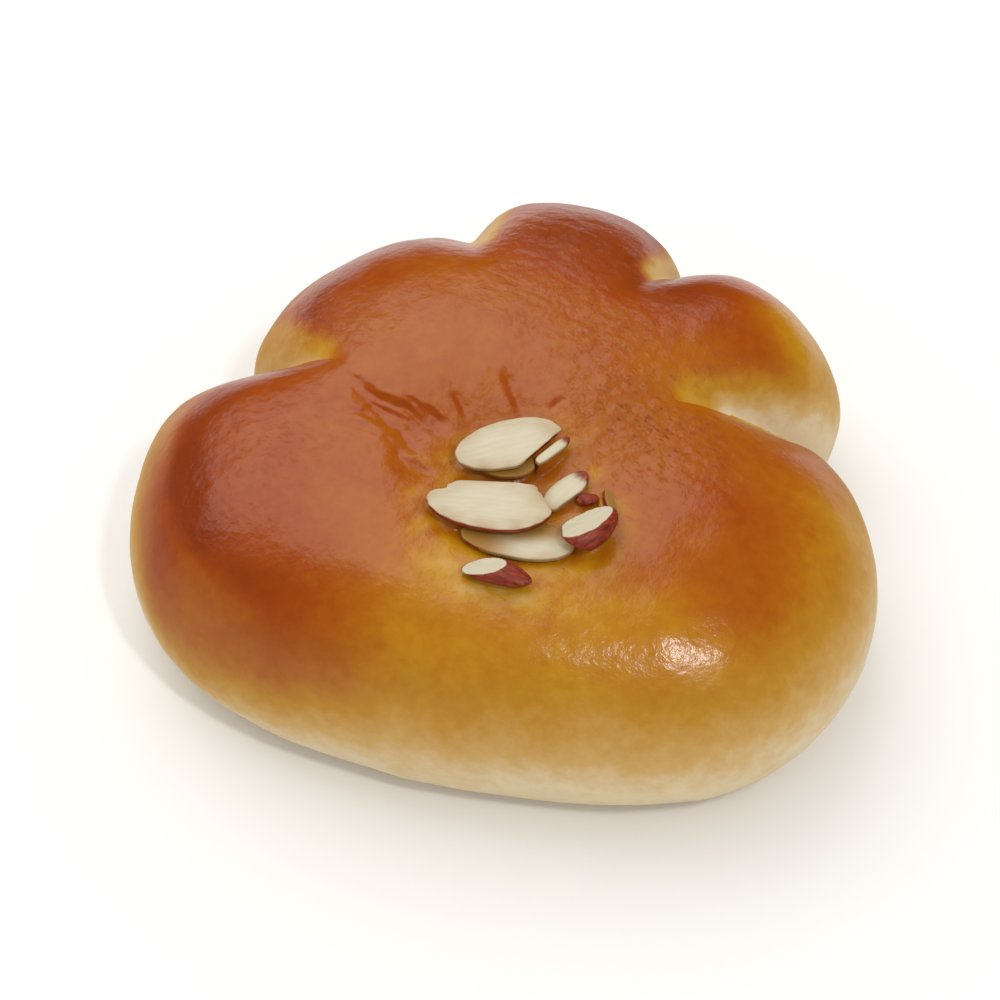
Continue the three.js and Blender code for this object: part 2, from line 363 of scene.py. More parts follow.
def crust_point(x, y):
    low, high = 0.0, RAY_REACH
    for _ in range(SEAT_HALVINGS):
        middle = (low + high) / 2
        deep = dough_depth(np.array([x]), np.array([y]), np.array([HUB_HEIGHT + middle]))[0] < 0
        low, high = (middle, high) if deep else (low, middle)
    return Vector((x, y, HUB_HEIGHT + low))


def seat(name):
    """Matrix from a piece's own flat frame, in millimetres, to its place on the bun, in metres."""
    almond = ALMONDS[name]
    x, y = almond["at"]
    pitch, roll = almond["tip"]
    eastward = crust_point(x + SEAT_SPAN, y) - crust_point(x - SEAT_SPAN, y)
    northward = crust_point(x, y + SEAT_SPAN) - crust_point(x, y - SEAT_SPAN)
    up = eastward.cross(northward).normalized()
    turn = math.radians(almond["heading"])
    forward = Vector((-math.sin(turn), math.cos(turn), 0.0)).cross(up).normalized()
    square = up.cross(forward)
    frame_on_crust = Matrix((forward, square, up)).transposed().to_4x4()
    tip = Matrix.Rotation(math.radians(roll), 4, "X") @ Matrix.Rotation(math.radians(-pitch), 4, "Y")
    place = Matrix.Translation(crust_point(x, y) + Vector(hub))
    return Matrix.Scale(MM, 4) @ place @ frame_on_crust @ Matrix.Translation((0, 0, almond["perch"])) @ tip


seats = {name: seat(name) for name in ALMONDS}
print("seats for", len(seats), "almond pieces")

# %% [markdown]
# Baked dough is never smooth. It has low swellings a finger wide and dimples the width of a pencil,
# and broad humps where the back right lobe leans on the middle. They are gathered as a relief, which
# is moved into the mesh later. In the bottom of a snip the two walls would be pushed through each
# other, so the relief dies away there.

# %% Swellings of the crust
LUMP_SIZE, LUMP_HEIGHT = 17.0, 0.55
DIMPLE_SIZE, DIMPLE_HEIGHT = 5.0, 0.14
HUMPS = (((15.0, 13.0), 8.0, 0.9), ((18.0, 25.0), 6.0, 0.45))
TOP_BEGINS, BASE_ENDS = (22, 32), (0.5, 6)
SNIP_BOTTOM, SNIP_EASE = 2.6, 4


def lumps(points, size, seed):
    return np.array([noise.noise(Vector(p) / size + Vector((seed, 0.0, 0.0))) for p in points])


def patch(points, at, radius):
    """One at a place in plan, falling off to nothing about two radii away."""
    return np.exp(-np.sum((points[:, :2] - np.array(at)) ** 2, axis=1) / (2 * radius**2))


on_top = smoothstep(dough[:, 2], *TOP_BEGINS)
off_base = smoothstep(dough[:, 2], *BASE_ENDS)
relief = LUMP_HEIGHT * lumps(dough, LUMP_SIZE, seed=3.0) + DIMPLE_HEIGHT * lumps(dough, DIMPLE_SIZE, seed=8.0)
relief *= off_base
for at, radius, rise in HUMPS:
    relief += rise * patch(dough, at, radius) * on_top
loose = np.ones(len(dough))
for snip, _, starts, _ in SNIPS:
    along, across = along_and_across(snip, dough[:, 0], dough[:, 1])
    in_snip = smoothstep(along, starts - SNIP_EASE, starts + SNIP_EASE)
    loose *= 1 - np.exp(-((across / SNIP_BOTTOM) ** 2)) * in_snip
relief *= loose
print("swellings from", relief.min().round(2), "to", relief.max().round(2), "mm")

# %% [markdown]
# Wrinkles run to the almonds, where the skin was stretched while the dough rose. The largest are a
# fan of narrow strands on the left, which draw together on their way. Each one is given by its path
# on the crust, how far the crust drops there, how wide its steep side is at the start and at the
# end, how far the crust takes to come up again, over which share of its length it grows, and how
# frayed it is.

# %% Paths of the wrinkles
WRINKLES = (
    {"path": ((-16.4, 0.8), (-13.0, -0.8), (-9.6, -2.4), (-6.0, -4.4)),
     "drop": 0.65, "steep": (0.5, 1.5), "recovery": 2.0, "grows": 0.5, "frayed": 0.4},
    {"path": ((-26.5, 2.6), (-21.9, 1.0), (-19.3, 0.3), (-16.6, -1.3), (-13.6, -2.6), (-10.4, -4.2),
              (-7.0, -6.2)),
     "drop": 0.9, "steep": (0.6, 1.8), "recovery": 2.4, "grows": 0.4, "frayed": 0.4},
    {"path": ((-23.8, 0.2), (-20.6, -1.1), (-18.0, -2.6), (-15.7, -3.8), (-12.7, -5.2), (-8.6, -7.4)),
     "drop": 0.75, "steep": (0.5, 1.5), "recovery": 2.4, "grows": 0.4, "frayed": 0.4},
    {"path": ((-21.6, -1.7), (-19.4, -2.8), (-17.2, -4.4), (-15.0, -5.7), (-11.8, -7.4), (-8.4, -9.4)),
     "drop": 0.5, "steep": (0.5, 1.1), "recovery": 2.6, "grows": 0.4, "frayed": 0.4},
    {"path": ((-16.4, -7.6), (-14.7, -8.9), (-12.8, -9.6), (-10.7, -11.2), (-8.1, -12.5), (-5.8, -13.2)),
     "drop": 0.7, "steep": (0.6, 1.5), "recovery": 3.0, "grows": 0.5, "frayed": 0.5},
    {"path": ((-28.6, -4.6), (-26.1, -3.3), (-22.9, -3.2), (-19.8, -4.3), (-17.3, -6.4)),
     "drop": 0.2, "steep": (0.6, 0.8), "recovery": 1.0, "grows": 0.4, "frayed": 0.6},
    {"path": ((-24.3, -6.9), (-21.2, -6.7), (-18.2, -7.6), (-16.4, -9.4)),
     "drop": 0.2, "steep": (0.6, 0.8), "recovery": 1.0, "grows": 0.4, "frayed": 0.6},
    {"path": ((3.7, 0.2), (0.6, 5.0), (-1.8, 8.8)),
     "drop": 0.5, "steep": (1.1, 1.2), "recovery": 1.0, "grows": 0.3, "frayed": 0.1},
    {"path": ((6.6, 2.8), (7.8, 4.6), (9.2, 6.4)),
     "drop": 0.25, "steep": (0.7, 0.8), "recovery": 0.8, "grows": 0.3, "frayed": 0.1},
    {"path": ((-4.6, -1.4), (-6.4, 0.8), (-8.6, 3.0)),
     "drop": 0.25, "steep": (0.7, 0.8), "recovery": 0.8, "grows": 0.3, "frayed": 0.1},
)
print(len(WRINKLES), "wrinkles")

# %% [markdown]
# A wrinkle needs to know how far along its path a corner of the mesh lies, and how far to the left
# of it. The path is a row of straight runs, and the nearest of them tells both. Blender's geometry
# module does this for one point and one line, and arrays do it for all corners at once.


# %% Places along a path
def along_path(points, path):
    """How far along a path each point lies in plan, its distance to the left, and the path's length."""
    gap = np.full(len(points), np.inf)
    along = np.zeros(len(points))
    left = np.zeros(len(points))
    walked = 0.0
    for start, end in zip(path[:-1], path[1:]):
        run = np.array(end) - np.array(start)
        length = np.linalg.norm(run)
        offset = points - np.array(start)
        share = np.clip(offset @ run / length**2, 0.0, 1.0)
        here = np.linalg.norm(offset - share[:, None] * run, axis=1)
        side = np.sign(run[0] * offset[:, 1] - run[1] * offset[:, 0])
        nearer = here < gap
        gap = np.where(nearer, here, gap)
        along = np.where(nearer, walked + share * length, along)
        left = np.where(nearer, side * here, left)
        walked += length
    return along, left, walked


path_lengths = [along_path(dough[:1, :2], wrinkle["path"])[2] for wrinkle in WRINKLES]
print("paths from", min(path_lengths).round(1), "to", max(path_lengths).round(1), "mm long")

# %% [markdown]
# Each wrinkle is a valley along its path, which widens and deepens as it grows and runs out at its
# end. On the left of the path the crust falls evenly and steeply, and that slope faces out of the
# veil of light, so it shows the bare orange brown; its colour is darkened there too, as painted
# shade. On the right it comes up again over some millimetres. Noise lets the paths wander and frays
# their edges, and the painted shade is split by a noise drawn out along the path, of which each
# wrinkle takes a layer of its own.

# %% Wrinkles
WANDERING = ((1.3, 3.5, (21.0, 34.0)), (0.7, 1.8, (25.0, 38.0)))
LEAST_WANDER, TEAR_SIZE, TEAR_DEPTH, RUNS_OUT = 0.25, 1.7, 0.6, 0.3
SLOPE_STARTS, SLOPE_ENDS = (-0.5, 0.2), (1.4, 0.7)
STRAND_LENGTH, STRAND_SPACING, STRAND_GAPS, LAYERS_APART = 4.0, 0.9, (-0.25, 0.3), 7.0

wander = np.zeros((len(dough), 2))
for reach, size, seeds in WANDERING:
    wander += reach * np.column_stack([lumps(dough, size, seed) for seed in seeds])
torn = lumps(dough, TEAR_SIZE, seed=71.0)
creases = np.zeros(len(dough))
wrinkle_shade = np.zeros(len(dough))
for i, wrinkle in enumerate(WRINKLES):
    frayed = wrinkle["frayed"]
    along, left, length = along_path(dough[:, :2] + (LEAST_WANDER + frayed) * wander, wrinkle["path"])
    narrow, wide = wrinkle["steep"]
    steep = (narrow + (wide - narrow) * along / length) * (1 + TEAR_DEPTH * frayed * torn)
    grown = np.clip(along / (wrinkle["grows"] * length), 0.0, 1.0)
    fade = grown * smoothstep(length - along, 0, RUNS_OUT * length) * on_top
    falling = np.clip(1 - left / steep, 0, 1)
    rising = np.exp(-((left / wrinkle["recovery"]) ** 2))
    creases += wrinkle["drop"] * np.where(left > 0, falling, rising) * fade
    # The steep side gets painted shade in its colour, split into strands by a noise along the path.
    slope = smoothstep(left / steep, *SLOPE_STARTS) * smoothstep(left / steep, *SLOPE_ENDS) * np.sqrt(fade)
    layer = np.full(len(dough), LAYERS_APART * i)
    strand_place = np.column_stack([along / STRAND_LENGTH, left / STRAND_SPACING, layer])
    strand = 1 - frayed * smoothstep(-lumps(strand_place, 1.0, seed=5.0), *STRAND_GAPS)
    wrinkle_shade = np.maximum(wrinkle_shade, slope * strand)
relief -= creases
print("deepest wrinkle", creases.max().round(2), "mm")

# %% [markdown]
# Where the skin was drawn tight, most of all right of the almonds and by the snips, it has dried
# into a fine crinkle. A noise squeezed across the way of the pull gives it. The finest part, with
# small brown specks, is left to the material, which gets the same patches as an attribute.

# %% Drawn skin
DRAWN = (
    ((22.0, 6.0), 9.0, 1.0),
    ((27.0, 14.0), 6.0, 0.8),
    ((14.0, 22.0), 8.0, 0.6),
    ((-31.0, 12.0), 6.0, 0.6),
    ((-32.0, -14.0), 9.0, 0.3),
    ((8.0, -10.0), 13.0, 0.4),
    ((0.0, 34.0), 11.0, 0.5),
    ((12.0, -30.0), 9.0, 0.3),
)
PULL_BEARING = -22
CRINKLE_LENGTH, CRINKLE_WIDTH, CRINKLE_HEIGHT = 2.6, 1.4, 0.33

drawn = np.zeros(len(dough))
for at, radius, strength in DRAWN:
    drawn = np.maximum(drawn, strength * patch(dough, at, radius))
drawn *= on_top * loose
along, across = along_and_across(PULL_BEARING, dough[:, 0], dough[:, 1])
stretched = np.column_stack([along / CRINKLE_LENGTH, across / CRINKLE_WIDTH, dough[:, 2] / CRINKLE_LENGTH])
crinkle = lumps(stretched, 1.0, seed=13.0) + 0.5 * lumps(stretched, 0.5, seed=29.0)
relief += CRINKLE_HEIGHT * drawn * crinkle
print("drawn skin over", int((drawn > 0.3).sum()), "corners")

# %% [markdown]
# The almonds were pressed into soft dough, which sank at their left and is uneven round them. Under
# each piece the crust comes up to its lower face, so that no piece hovers: a piece's own frame tells
# how far below that face each corner lies. Where two pieces overlap, the lower one sets the height.
# Almond ends are round below, so that only their middle touches.

# %% Press the almonds into the crust
HOLLOW = {"at": (0.0, -6.5), "radius": 7.0, "depth": 1.5}
UNSETTLED_SIZE, UNSETTLED_HEIGHT, UNSETTLED_RANGE = 2.6, 0.11, (-6.0, -0.5)
SEAT_GAP, SEAT_EDGE, SEAT_REACH = 0.1, (0.55, 0.95), 1.15
ROUND_BELOW = {"almond_wedge": 0.6, "almond_chip": 0.6, "almond_front": 0.6}

placed = (dough + hub) * MM
beyond = np.full(len(dough), RAY_REACH)
ceiling = np.full(len(dough), RAY_REACH)
covered = np.zeros(len(dough))
for name, almond in ALMONDS.items():
    length, width = almond["size"]
    inverse = np.array(seats[name].inverted())
    local = placed @ inverse[:3, :3].T + inverse[:3, 3]
    oval = np.hypot(local[:, 0] / (length / 2), local[:, 1] / (width / 2))
    beyond = np.minimum(beyond, (oval - 1) * math.sqrt(length * width) / 2)
    footprint = oval / ROUND_BELOW.get(name, 1.0)
    ceiling = np.where(footprint < SEAT_REACH, np.minimum(ceiling, -local[:, 2] - SEAT_GAP), ceiling)
    covered = np.maximum(covered, (1 - smoothstep(footprint, *SEAT_EDGE)) * on_top)
near_almond = smoothstep(-beyond, *UNSETTLED_RANGE) * on_top
relief += UNSETTLED_HEIGHT * near_almond * lumps(dough, UNSETTLED_SIZE, seed=60.0)
relief -= HOLLOW["depth"] * patch(dough, HOLLOW["at"], HOLLOW["radius"]) * on_top
raised = np.where(covered > 0, ceiling - relief, 0.0) * covered
relief += raised
print("crust raised by up to", round(float(raised.max()), 2), "mm under the almonds")

# %% [markdown]
# The whole relief is now moved into the mesh, along the normals of the plain dough. Moving corners
# keeps the shape in the mesh itself, where a bump in the finish would only look like it. The base is
# put back to level, because the bun stands flat.

# %% Move the crust
for vertex, point in zip(bun_bm.verts, dough):
    vertex.co = point
bmesh.ops.recalc_face_normals(bun_bm, faces=bun_bm.faces[:])
bun_bm.normal_update()
normals = np.array([v.normal for v in bun_bm.verts])
crust = dough + normals * relief[:, None]
crust[dough[:, 2] <= 0.0, 2] = 0.0
for vertex, point in zip(bun_bm.verts, (crust + hub) * MM):
    vertex.co = point
bun_bm.normal_update()
print("crust moved from", relief.min().round(2), "to", relief.max().round(2), "mm")

# %% [markdown]
# Browning is worked out once for every corner of the mesh and kept as an attribute, so that the
# colour follows the dough and not the camera. Oven heat browns what faces up, most at the back and
# along the shoulder of the left lobe, and less on the front fold, round the almonds and at the tip
# of the back right lobe. A few patches make it uneven, and the foot of the bun stays pale. Zones are
# given in millimetres from the hub.

# %% Browning of the crust
# The browning of the wrinkles below is painted shade on their steep sides.
EVEN_BROWNING, WRINKLE_SHADE_BROWNING, WRINKLE_SHADE_FADES_AT_ALMONDS = 0.67, 0.78, 0.4
BROWNER_BACK, BROWNER_BACK_MIDDLE, PALER_BACK_RIGHT = 0.15, 0.09, 0.18
BROWNER_SHOULDER, PALER_LEFT_TOP, PALER_LEFT = 0.3, 0.14, 0.05
PALER_FRONT, PALER_LOBE_TIP, PALER_AT_ALMONDS, ALMOND_BLOTCH = 0.21, 0.38, 0.12, 1.5
PATCHES = (
    ((26, 27), 9.0, 0.11),
    ((26, 17.5), 5.0, -0.17),
    ((36, -6), 6.0, 0.08),
    ((46, 0), 5.0, -0.1),
    ((-22, -36), 8.0, 0.08),
    ((-44.5, -28.5), 4.5, 0.21),
    ((-48.5, -19.5), 4.0, 0.2),
)
FOOT, LEFT_FOOT, LEFT_RIM_FOOT, FRONT_FOOT, RIGHT_FOOT = 4.5, -2.0, 9.0, 3.0, 4.2
BROWNING_RISE, LEFT_RISE, RIGHT_RISE = 26.0, -6.0, 5.0

x, y, z = dough.T
left_side = smoothstep(-x, 14, 40)
left_rim = smoothstep(-x, 42, 52)
right_side = smoothstep(x, 35, 55) * smoothstep(-y, -18, 0)
front = smoothstep(-y, 18, 32)
front_fold = front * smoothstep(x, -24, 0) * (1 - 0.5 * smoothstep(x, 38, 50))
along, across = along_and_across(CUSHIONS["back_right_lobe"][0], x, y)
lobe_tip = smoothstep(along, 43, 52) * smoothstep(-across, -9, 1)

back = BROWNER_BACK + BROWNER_BACK_MIDDLE * smoothstep(x, -12, 2) - PALER_BACK_RIGHT * smoothstep(x, 20, 32)
shoulder = BROWNER_SHOULDER * smoothstep(z, 27.5, 30.5) - PALER_LEFT_TOP * smoothstep(z, 31.5, 34.5)
plateau = EVEN_BROWNING + back * smoothstep(y, 22, 40) + left_side * (shoulder - PALER_LEFT)
plateau -= PALER_FRONT * front_fold + PALER_LOBE_TIP * lobe_tip
plateau -= PALER_AT_ALMONDS * near_almond * (1 + ALMOND_BLOTCH * lumps(dough, 3.0, seed=44.0))
for at, radius, change in PATCHES:
    plateau += change * patch(dough, at, radius)
foot = FOOT + LEFT_FOOT * left_side + LEFT_RIM_FOOT * left_rim
foot += np.maximum(FRONT_FOOT * front * smoothstep(x, -5, 25), RIGHT_FOOT * right_side)
browning = plateau * smoothstep(z - foot, 0, BROWNING_RISE + LEFT_RISE * left_side + RIGHT_RISE * right_side)
# The steep sides of the wrinkles are browned darker, as painted shade.
browning += (WRINKLE_SHADE_BROWNING - browning) * wrinkle_shade * (1 - WRINKLE_SHADE_FADES_AT_ALMONDS * near_almond)
print("browning from", browning.min().round(2), "to", browning.max().round(2))

# %% [markdown]
# The snips tore open late, so their walls stay gold and, deep inside, cream, and they carry no egg.
# Each wall is a band along one side of its snip, left (1) or right (-1), with its tone, where it
# starts, its width there, how fast it widens and how soft its border is. Two bands on one side make
# a cream core in a gold border. The underside is a light even brown.

# %% Walls of the snips
WALLS = (
    (25, 1, 0.37, (28, 3.6, 0.12, 2.6)),
    (25, 1, 0.0, (34, 1.4, 0.10, 2.2)),
    (25, -1, 0.30, (36, 0.8, 0.12, 1.2)),
    (68, 1, 0.23, (40, 2.4, 0.26, 1.8)),
    (111, 1, 0.30, (42, 1.0, 0.20, 1.4)),
    (111, -1, 0.28, (39, 3.0, 0.33, 2.0)),
    (168, 1, 0.36, (34, 0.6, 0.15, 1.2)),
    (168, -1, 0.40, (29, 2.6, 0.45, 2.0)),
    (168, -1, 0.30, (31, 0.8, 0.25, 1.4)),
)
WALL_RAGGED = ((0.8, 3.5, 90.0), (0.3, 1.1, 96.0))
WALL_OVERLAP, WALL_EASE, WALL_HEIGHT = 0.2, 2, 25
UNDERSIDE_BROWNING = 0.45
GLAZE_BEGINS, DULLER_WHERE_DRAWN = (21, 32), 0.4

pale = np.zeros(len(dough))
ragged = sum(reach * lumps(dough, size, seed) for reach, size, seed in WALL_RAGGED)
for snip, side, tone, (starts, width, widening, softness) in WALLS:
    along, across = along_and_across(snip, x, y)
    inside = width + widening * (along - starts) - np.abs(across) + ragged
    wall = smoothstep(inside, -softness, softness) * smoothstep(along, starts - WALL_EASE, starts + WALL_EASE)
    wall *= side * across > -WALL_OVERLAP
    browning += np.minimum(tone * smoothstep(z, 0, WALL_HEIGHT) - browning, 0) * wall
    pale = np.maximum(pale, wall * (1 - 2 * tone))
under = z <= 0.0
browning = np.where(under, UNDERSIDE_BROWNING, browning)
glaze = smoothstep(z, *GLAZE_BEGINS) * (1 - pale) * (1 - DULLER_WHERE_DRAWN * drawn) * ~under
print("walls", len(WALLS), "bands over", int((pale > 0.1).sum()), "corners")

# %% [markdown]
# The crust is milk dough under baked egg wash. Browning runs from cream through straw gold and
# orange to a deep brown. A ramp turns browning to colour, and noise at two sizes makes it uneven:
# noise lies round a half, so half of what it adds is taken off again. Where the skin is drawn tight,
# short dark specks lie along the pull.

# %% Colour of the egg-washed crust
BLOTCH, BLOTCH_BROWNING = 11.0, 0.24
MOTTLE, MOTTLE_BROWNING = 2.2, 0.2
SPECK_LENGTH, SPECK_WIDTH, SPECK_BROWNING = 1.7, 1.0, 0.16
SPECK_FAINT, SPECK_FULL = 0.56, 0.68

crust_material, tree, shader = new_material("egg_washed_crust")
place = add(tree, "ShaderNodeTexCoord").outputs["Object"]
brown = add(tree, "ShaderNodeAttribute", {"attribute_name": "browning"}).outputs["Fac"]
tight = add(tree, "ShaderNodeAttribute", {"attribute_name": "drawn"}).outputs["Fac"]
blotch = add(tree, "ShaderNodeTexNoise", None, {
    "Vector": place, "Scale": per_mm(BLOTCH), "Detail": 3.0, "Roughness": 0.6,
})
mottle = add(tree, "ShaderNodeTexNoise", None, {
    "Vector": place, "Scale": per_mm(MOTTLE), "Detail": 4.0, "Roughness": 0.65,
})
pulled = add(tree, "ShaderNodeMapping", {"vector_type": "TEXTURE"}, {
    "Vector": place,
    "Rotation": (0, 0, math.radians(PULL_BEARING)),
    "Scale": (SPECK_LENGTH * MM, SPECK_WIDTH * MM, SPECK_LENGTH * MM),
})
strokes = add(tree, "ShaderNodeTexNoise", None, {
    "Vector": pulled.outputs["Vector"], "Scale": 1.0, "Detail": 5.0, "Roughness": 0.7,
})
speck = add(tree, "ShaderNodeMapRange", None, {
    "Value": strokes.outputs["Fac"], "From Min": SPECK_FAINT, "From Max": SPECK_FULL,
})
speck = add(tree, "ShaderNodeMath", {"operation": "MULTIPLY"}, {0: speck.outputs["Result"], 1: tight})
uneven = brown
for pattern, amount in (
    (blotch.outputs["Fac"], BLOTCH_BROWNING),
    (mottle.outputs["Fac"], MOTTLE_BROWNING),
    (speck.outputs[0], SPECK_BROWNING),
):
    step = add(tree, "ShaderNodeMath", {"operation": "MULTIPLY_ADD"}, {0: pattern, 1: amount, 2: uneven})
    uneven = step.outputs[0]
half_noise = 0.5 * (BLOTCH_BROWNING + MOTTLE_BROWNING)
level = add(tree, "ShaderNodeMath", {"operation": "SUBTRACT"}, {0: uneven, 1: half_noise})
ramp = add(tree, "ShaderNodeValToRGB", None, {"Fac": level.outputs[0]})
set_stops(ramp, [
    (0.0, "#dcc9a2"),
    (0.18, "#cca35c"),
    (0.38, "#bb830e"),
    (0.58, "#aa5e04"),
    (0.78, "#9b4202"),
    (1.0, "#843104"),
])
tree.links.new(ramp.outputs["Color"], shader.inputs["Base Color"])
print("crust colour nodes:", len(tree.nodes))

# %% [markdown]
# The egg leaves a film with a soft shine, broken by a grain about a millimetre wide, which catches
# the lamp as sparks. The film is set by the glaze attribute: where it is missing, the crust is as
# dull as bread. The grain stands higher where the skin is drawn tight, and the specks are small
# pits. Heights are in millimetres.

# %% Shine and grain of the crust
EGG_IOR, DULL_ROUGHNESS, GLAZED_ROUGHNESS = 1.47, 0.6, 0.21
GRAIN, GRAIN_HEIGHT, CRINKLE_GRAIN_HEIGHT, SPECK_DEPTH = 1.2, 0.09, 0.22, 0.1

shader.inputs["IOR"].default_value = EGG_IOR
film = add(tree, "ShaderNodeAttribute", {"attribute_name": "glaze"}).outputs["Fac"]
shine = add(tree, "ShaderNodeMapRange", None, {
    "Value": film, "To Min": DULL_ROUGHNESS, "To Max": GLAZED_ROUGHNESS,
})
tree.links.new(shine.outputs["Result"], shader.inputs["Roughness"])
grain = add(tree, "ShaderNodeTexNoise", None, {
    "Vector": place, "Scale": per_mm(GRAIN), "Detail": 3.0, "Roughness": 0.55,
})
grain_height = add(tree, "ShaderNodeMath", {"operation": "MULTIPLY_ADD"}, {
    0: tight, 1: CRINKLE_GRAIN_HEIGHT, 2: GRAIN_HEIGHT,
})
height = add(tree, "ShaderNodeMath", {"operation": "MULTIPLY"}, {
    0: grain.outputs["Fac"], 1: grain_height.outputs[0],
})
height = add(tree, "ShaderNodeMath", {"operation": "MULTIPLY_ADD"}, {
    0: speck.outputs[0], 1: -SPECK_DEPTH, 2: height.outputs[0],
})
bump = add(tree, "ShaderNodeBump", None, {"Height": height.outputs[0], "Strength": 1.0, "Distance": MM})
tree.links.new(bump.outputs["Normal"], shader.inputs["Normal"])
print("crust nodes:", len(tree.nodes))

# %% [markdown]
# The finished mesh becomes an object at the origin with its place in its corners, gets its three
# attributes, and stands for the plain solid of the bun.

# %% The bun
mesh = bpy.data.meshes.new("bun_crust")
bun_bm.to_mesh(mesh)
bun_bm.free()
for name, values in (("browning", browning), ("glaze", glaze), ("drawn", drawn)):
    mesh.attributes.new(name, "FLOAT", "POINT").data.foreach_set("value", values.astype(np.float32))
mesh.polygons.foreach_set("use_smooth", np.ones(len(mesh.polygons), bool))
bun = bpy.data.objects.new("bun_crust", mesh)
bpy.context.scene.collection.objects.link(bun)
bun.data.materials.append(crust_material)
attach(bun, "root")
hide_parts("bun")
print("bun", len(mesh.vertices), "corners")

# %% [markdown]
# Almond flesh is cream, a little waxy, with faint fibres along the nut. Its rim, the outer part of
# its faces and parts soaked with egg turn amber, and where a piece lies under another, the amber is
# painted shade. The skin is thin, red brown and finely ribbed. All are one finish here, because a
# slice carries them all: attributes say where amber and skin show, and another keeps each corner's
# place on the flat piece, in millimetres, so that the fibres follow the nut and not the room.

# %% Almond
ALMOND_IOR, ALMOND_ROUGHNESS = 1.46, 0.48
FIBRE_LENGTH, FIBRE_WIDTH, RIBS_PER_FIBRE, RIB_HEIGHT = 4.55, 0.77, 2.0, 0.1

almond_material, tree, shader = new_material("sliced_almond")
shader.inputs["IOR"].default_value = ALMOND_IOR
shader.inputs["Roughness"].default_value = ALMOND_ROUGHNESS
skin = add(tree, "ShaderNodeAttribute", {"attribute_name": "skin"}).outputs["Fac"]
amber_and_shade = add(tree, "ShaderNodeAttribute", {"attribute_name": "amber"}).outputs["Fac"]
on_piece = add(tree, "ShaderNodeAttribute", {"attribute_name": "flat"}).outputs["Vector"]
fibres = add(tree, "ShaderNodeMapping", None, {
    "Vector": on_piece, "Scale": (1 / FIBRE_LENGTH, 1 / FIBRE_WIDTH, 1 / FIBRE_WIDTH),
}).outputs["Vector"]
fibre = add(tree, "ShaderNodeTexNoise", None, {"Vector": fibres, "Scale": 1.0, "Detail": 4.0})
flesh = add(tree, "ShaderNodeValToRGB", None, {"Fac": fibre.outputs["Fac"]})
set_stops(flesh, [(0.25, "#c7bb9b"), (0.5, "#ccc1a4"), (0.75, "#d1c7ad")])
# Amber is mixed into the flesh here; on pieces lying under others it is painted shade.
toasted_and_shaded = add(tree, "ShaderNodeMix", {"data_type": "RGBA"})
tree.links.new(amber_and_shade, toasted_and_shaded.inputs["Factor"])
tree.links.new(flesh.outputs["Color"], toasted_and_shaded.inputs["A"])
toasted_and_shaded.inputs["B"].default_value = linear("#a0722c")
rib = add(tree, "ShaderNodeTexNoise", None, {"Vector": fibres, "Scale": RIBS_PER_FIBRE, "Detail": 3.0})
peel = add(tree, "ShaderNodeValToRGB", None, {"Fac": rib.outputs["Fac"]})
set_stops(peel, [(0.3, "#641806"), (0.5, "#87290b"), (0.72, "#a04318")])
colour = add(tree, "ShaderNodeMix", {"data_type": "RGBA"})
tree.links.new(skin, colour.inputs["Factor"])
tree.links.new(toasted_and_shaded.outputs["Result"], colour.inputs["A"])
tree.links.new(peel.outputs["Color"], colour.inputs["B"])
tree.links.new(colour.outputs["Result"], shader.inputs["Base Color"])
bump = add(tree, "ShaderNodeBump", None, {
    "Height": rib.outputs["Fac"], "Strength": 0.4, "Distance": RIB_HEIGHT * MM,
})
tree.links.new(bump.outputs["Normal"], shader.inputs["Normal"])
print("almond nodes:", len(tree.nodes))

# %% [markdown]
# Every piece is modelled flat, in millimetres, and ends the same way: its corners' flat places are
# kept for the finish, it is laid on its seat, and it stands for its solid.


# %% Lay a piece down
def finish_almond(name, bm, skin_values, amber_values):
    bm.normal_update()
    flat = np.array([v.co for v in bm.verts], np.float32)
    bmesh.ops.transform(bm, matrix=seats[name], verts=bm.verts[:])
    mesh = bpy.data.meshes.new(name + "_piece")
    bm.to_mesh(mesh)
    bm.free()
    mesh.attributes.new("flat", "FLOAT_VECTOR", "POINT").data.foreach_set("vector", flat.ravel())
    for label, values in (("skin", skin_values), ("amber", amber_values)):
        mesh.attributes.new(label, "FLOAT", "POINT").data.foreach_set("value", np.array(values, np.float32))
    mesh.polygons.foreach_set("use_smooth", np.ones(len(mesh.polygons), bool))
    piece = bpy.data.objects.new(name + "_piece", mesh)
    bpy.context.scene.collection.objects.link(piece)
    piece.data.materials.append(almond_material)
    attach(piece, "root")
    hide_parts(name)
    print(name, len(mesh.vertices), "corners")


print("pieces are laid down by finish_almond")

# %% [markdown]
# A slice starts as a flat disc, stretched to an oval and narrowed towards one end. Nicks are pressed
# into its rim, points beyond a line are pushed back to it, which makes a break, and a fine noise
# makes the rim ragged. One smoothing takes the points off the corners.

# %% Outline of a slice
RIM_POINTS = 120
RAGGED_SIZE, RAGGEDNESS = 1.1, 0.03


def bearing_on_slice(point, length, width):
    """Bearing from the middle of a slice, in degrees, as if the slice were a round disc."""
    return math.degrees(math.atan2(point.y / width, point.x / length)) % 360


